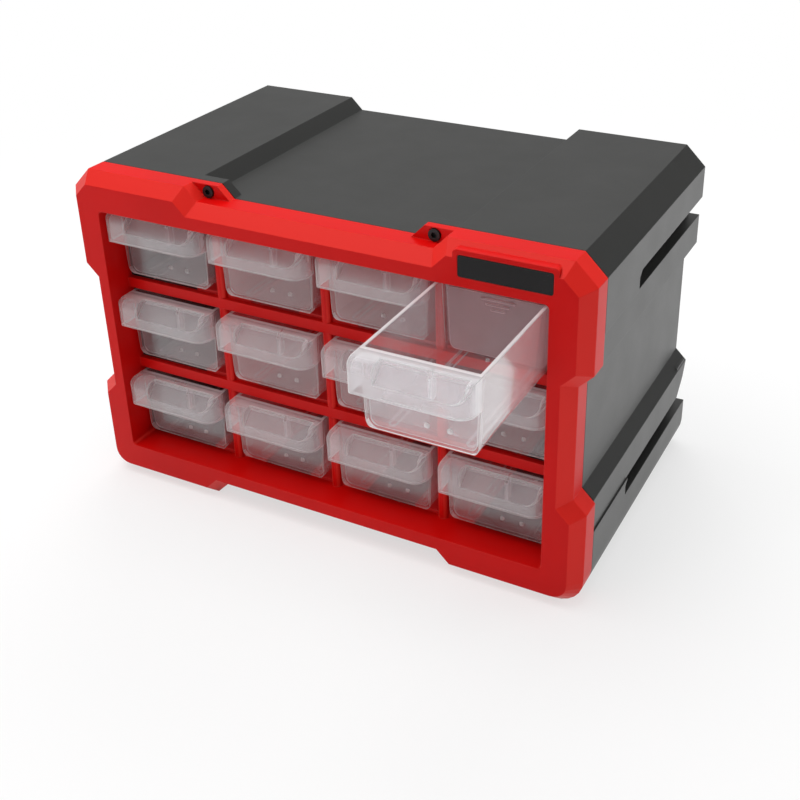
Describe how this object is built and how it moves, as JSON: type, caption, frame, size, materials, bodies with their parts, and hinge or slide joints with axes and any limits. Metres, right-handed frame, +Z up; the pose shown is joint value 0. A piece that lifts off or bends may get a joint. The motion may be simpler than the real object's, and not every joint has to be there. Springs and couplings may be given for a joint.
{
  "type": "parts bin cabinet",
  "caption": "Small-parts cabinet: a red front bezel on a charcoal housing, with rows of clear sliding drawers with pull hoods; a drawer stands open with its divider in place",
  "frame": {"origin": "on the surface that it stands on, under the middle of the bounding box of the cabinet with its open drawer", "axes": "+X to the right as seen from the front, +Y to the back, +Z up"},
  "size_m": [0.268, 0.2282, 0.17],
  "materials": {
    "red_plastic": "satin moulded red",
    "red_plastic_inner": "plain moulded red",
    "charcoal_plastic": "fine moulded texture",
    "black_plate": "smooth black, bare",
    "black_steel": "black oxide",
    "clear_plastic": "translucent natural polypropylene",
    "divider_plastic": "translucent natural polypropylene"
  },
  "bodies": {
    "cabinet": {"front_bezel": "red_plastic", "name_plate": "black_plate", "screw_left": "black_steel", "screw_right": "black_steel", "housing": "charcoal_plastic", "partition_left": "red_plastic_inner", "partition_middle": "red_plastic_inner", "partition_right": "red_plastic_inner", "runner_wall_left": "charcoal_plastic", "runner_wall_right": "charcoal_plastic"},
    "drawer_r1_c1_body": {"drawer_r1_c1": "clear_plastic"},
    "drawer_r1_c2_body": {"drawer_r1_c2": "clear_plastic"},
    "drawer_r1_c3_body": {"drawer_r1_c3": "clear_plastic"},
    "drawer_r1_c4_body": {"drawer_r1_c4": "clear_plastic", "drawer_divider": "divider_plastic"},
    "drawer_r2_c1_body": {"drawer_r2_c1": "clear_plastic"},
    "drawer_r2_c2_body": {"drawer_r2_c2": "clear_plastic"},
    "drawer_r2_c3_body": {"drawer_r2_c3": "clear_plastic"},
    "drawer_r2_c4_body": {"drawer_r2_c4": "clear_plastic"},
    "drawer_r3_c1_body": {"drawer_r3_c1": "clear_plastic"},
    "drawer_r3_c2_body": {"drawer_r3_c2": "clear_plastic"},
    "drawer_r3_c3_body": {"drawer_r3_c3": "clear_plastic"},
    "drawer_r3_c4_body": {"drawer_r3_c4": "clear_plastic"}
  },
  "joints": [
    {"name": "drawer_r1_c1_slide", "type": "slide", "parent": "cabinet", "child": "drawer_r1_c1_body", "axis": [0, -1, 0], "range_m": [0, 0.1]},
    {"name": "drawer_r1_c2_slide", "type": "slide", "parent": "cabinet", "child": "drawer_r1_c2_body", "axis": [0, -1, 0], "range_m": [0, 0.1]},
    {"name": "drawer_r1_c3_slide", "type": "slide", "parent": "cabinet", "child": "drawer_r1_c3_body", "axis": [0, -1, 0], "range_m": [0, 0.1]},
    {"name": "drawer_r1_c4_slide", "type": "slide", "parent": "cabinet", "child": "drawer_r1_c4_body", "axis": [0, -1, 0], "range_m": [-0.072, 0.028]},
    {"name": "drawer_r2_c1_slide", "type": "slide", "parent": "cabinet", "child": "drawer_r2_c1_body", "axis": [0, -1, 0], "range_m": [0, 0.1]},
    {"name": "drawer_r2_c2_slide", "type": "slide", "parent": "cabinet", "child": "drawer_r2_c2_body", "axis": [0, -1, 0], "range_m": [0, 0.1]},
    {"name": "drawer_r2_c3_slide", "type": "slide", "parent": "cabinet", "child": "drawer_r2_c3_body", "axis": [0, -1, 0], "range_m": [0, 0.1]},
    {"name": "drawer_r2_c4_slide", "type": "slide", "parent": "cabinet", "child": "drawer_r2_c4_body", "axis": [0, -1, 0], "range_m": [0, 0.1]},
    {"name": "drawer_r3_c1_slide", "type": "slide", "parent": "cabinet", "child": "drawer_r3_c1_body", "axis": [0, -1, 0], "range_m": [0, 0.1]},
    {"name": "drawer_r3_c2_slide", "type": "slide", "parent": "cabinet", "child": "drawer_r3_c2_body", "axis": [0, -1, 0], "range_m": [0, 0.1]},
    {"name": "drawer_r3_c3_slide", "type": "slide", "parent": "cabinet", "child": "drawer_r3_c3_body", "axis": [0, -1, 0], "range_m": [0, 0.1]},
    {"name": "drawer_r3_c4_slide", "type": "slide", "parent": "cabinet", "child": "drawer_r3_c4_body", "axis": [0, -1, 0], "range_m": [0, 0.1]}
  ]
}
